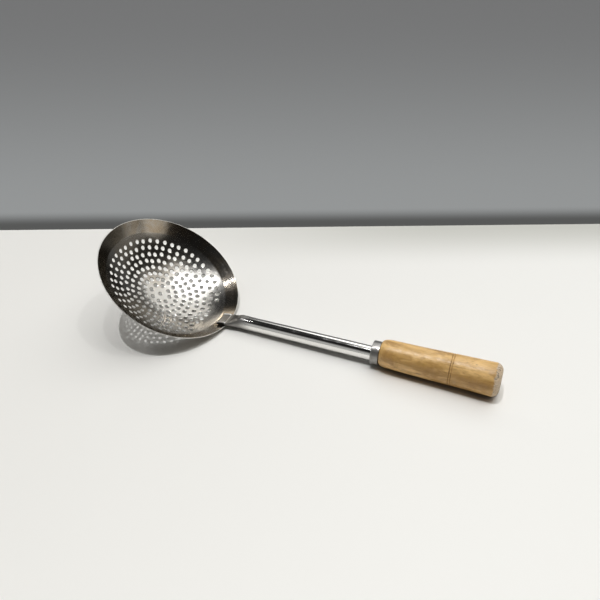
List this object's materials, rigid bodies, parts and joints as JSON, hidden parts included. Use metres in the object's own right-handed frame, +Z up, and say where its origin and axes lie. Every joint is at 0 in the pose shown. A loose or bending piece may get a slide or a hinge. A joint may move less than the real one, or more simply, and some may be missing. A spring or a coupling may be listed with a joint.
{
  "type": "perforated skimmer",
  "caption": "Perforated steel bowl on a tube stem pressed flat and welded inside its rim, with a steel ferrule and a turned wooden grip, for lifting and draining food.",
  "frame": {"origin": "middle of the footprint of the skimmer as it lies on a table, at table height", "axes": "+X along the handle from the bowl to the butt, +Z up, +Y across"},
  "size_m": [0.3418, 0.1298, 0.0738],
  "materials": {
    "bowl_steel": "spun and worn",
    "stem_steel": "polished",
    "ferrule_steel": "satin",
    "grip_wood": "varnished"
  },
  "bodies": {
    "root": {"perforated_bowl": "bowl_steel", "stem_tube": "stem_steel", "ferrule": "ferrule_steel", "wooden_grip": "grip_wood"}
  },
  "joints": []
}
